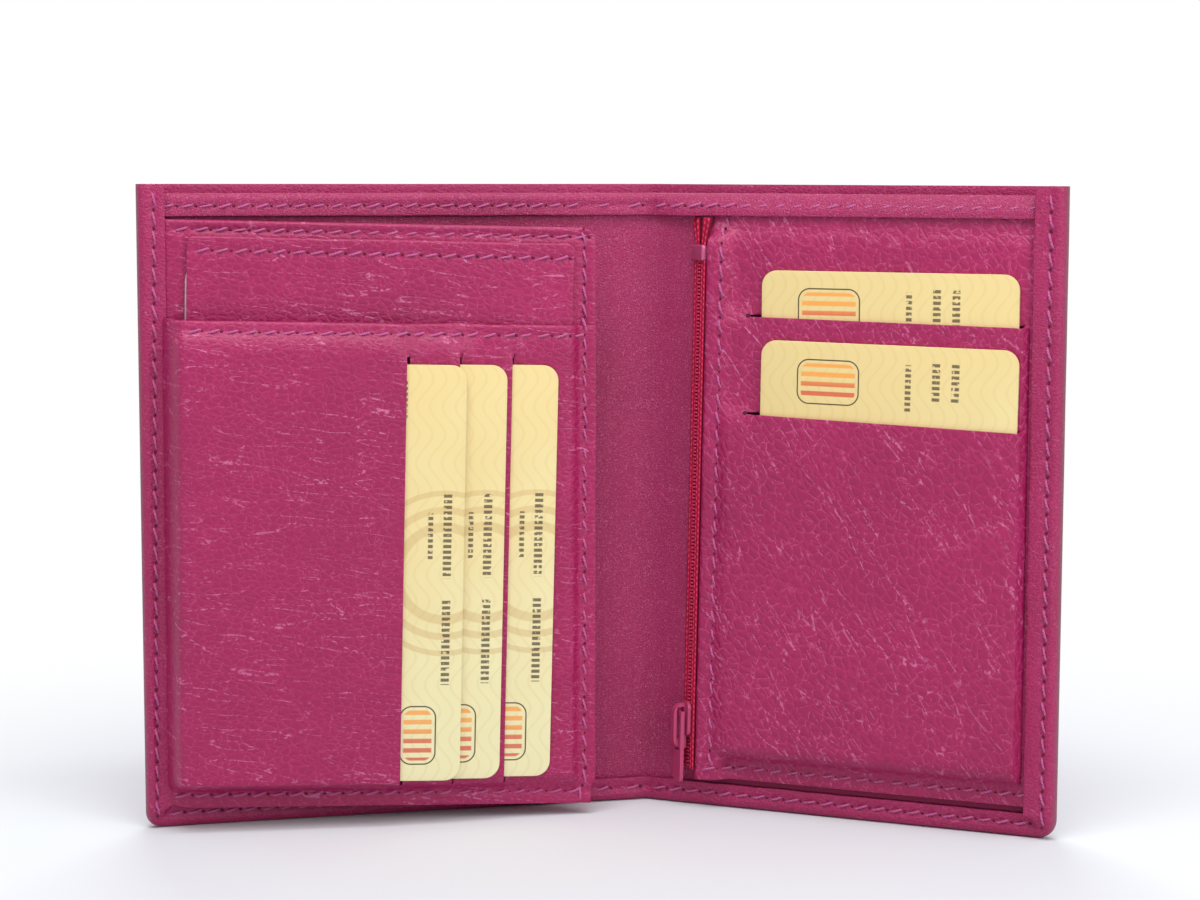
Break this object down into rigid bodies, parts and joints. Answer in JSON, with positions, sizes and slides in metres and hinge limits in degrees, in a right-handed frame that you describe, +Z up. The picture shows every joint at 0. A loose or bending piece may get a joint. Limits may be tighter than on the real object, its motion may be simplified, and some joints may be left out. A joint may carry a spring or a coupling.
{
  "type": "compact wallet",
  "caption": "Bi-fold leather wallet standing open, with a swinging card flap and pull-out sleeve, a slotted card panel with a zip pocket, and a full-width bill compartment.",
  "frame": {"origin": "middle of the open wallet's box, on the surface that it stands on", "axes": "+X to the right along the open wallet, +Y towards the outside of the spine, +Z up"},
  "size_m": [0.1872, 0.0384, 0.1316],
  "materials": {
    "cover_leather": "semi-gloss grained",
    "inner_leather": "coarse grained",
    "flap_leather": "fine grained",
    "card_gold": "pale gold print",
    "clear_film": "clear",
    "lining_fabric": "thin lining",
    "zip_tape": "woven tape",
    "zip_tooth": "moulded",
    "painted_zip": "glossy paint"
  },
  "bodies": {
    "spine": {"cover_spine": "cover_leather", "divider_spine": "inner_leather", "top_band_spine": "inner_leather"},
    "left_wing": {"cover_left": "cover_leather", "divider_left": "inner_leather", "top_band_left": "inner_leather", "flap_root": "flap_leather"},
    "right_wing": {"cover_right": "cover_leather", "divider_right": "inner_leather", "top_band_right": "inner_leather", "card_panel": "inner_leather", "panel_lining": "lining_fabric", "zip_pocket_back": "lining_fabric", "zip_tape_front": "zip_tape", "zip_tape_back": "zip_tape", "zip_teeth_front": "zip_tooth", "zip_teeth_back": "zip_tooth", "zip_end_clip": "painted_zip"},
    "card_flap": {"flap_back": "flap_leather", "flap_front": "flap_leather", "flap_pocket_lining": "lining_fabric"},
    "sleeve": {"sleeve_face": "flap_leather", "sleeve_window": "clear_film"},
    "card_1": {"card_1": "card_gold"},
    "card_2": {"card_2": "card_gold"},
    "card_3": {"card_3": "card_gold"},
    "card_a": {"card_a": "card_gold"},
    "card_b": {"card_b": "card_gold"},
    "zip_slider": {"zip_slider": "painted_zip", "zip_slider_back": "painted_zip"},
    "zip_pull": {"zip_pull": "painted_zip"}
  },
  "joints": [
    {"name": "left_fold", "type": "hinge", "parent": "spine", "child": "left_wing", "pos_m": [-0.00312, 0.01322, 0], "axis": [0, 0, 1], "range_deg": [0, 85]},
    {"name": "right_fold", "type": "hinge", "parent": "spine", "child": "right_wing", "pos_m": [0.00959, 0.01677, 0], "axis": [0, 0, -1], "range_deg": [-36.9, 48.1]},
    {"name": "flap_swing", "type": "hinge", "parent": "left_wing", "child": "card_flap", "pos_m": [-0.08668, -0.01255, 0], "axis": [0, 0, 1], "range_deg": [-82, 5.2]},
    {"name": "sleeve_slide", "type": "slide", "parent": "card_flap", "child": "sleeve", "axis": [-0.0223, -0.0041, -0.9997], "range_m": [-0.06, 0]},
    {"name": "card_1_slide", "type": "slide", "parent": "card_flap", "child": "card_1", "axis": [-0.9836, -0.1788, 0.0227], "range_m": [-0.035, 0]},
    {"name": "card_2_slide", "type": "slide", "parent": "card_flap", "child": "card_2", "axis": [-0.9836, -0.1788, 0.0227], "range_m": [-0.035, 0]},
    {"name": "card_3_slide", "type": "slide", "parent": "card_flap", "child": "card_3", "axis": [-0.9836, -0.1788, 0.0227], "range_m": [-0.03, 0]},
    {"name": "card_a_slide", "type": "slide", "parent": "right_wing", "child": "card_a", "axis": [0, 0, -1], "range_m": [-0.055, 0]},
    {"name": "card_b_slide", "type": "slide", "parent": "right_wing", "child": "card_b", "axis": [0, 0, -1], "range_m": [-0.055, 0]},
    {"name": "zip_slide", "type": "slide", "parent": "right_wing", "child": "zip_slider", "axis": [0.0174, -0.0068, 0.9998], "range_m": [0, 0.092]},
    {"name": "zip_pull_swing", "type": "hinge", "parent": "zip_slider", "child": "zip_pull", "pos_m": [0.01659, 0.0099, 0.02028], "axis": [0.4018, -0.9156, -0.0132], "range_deg": [-120, 0]}
  ]
}
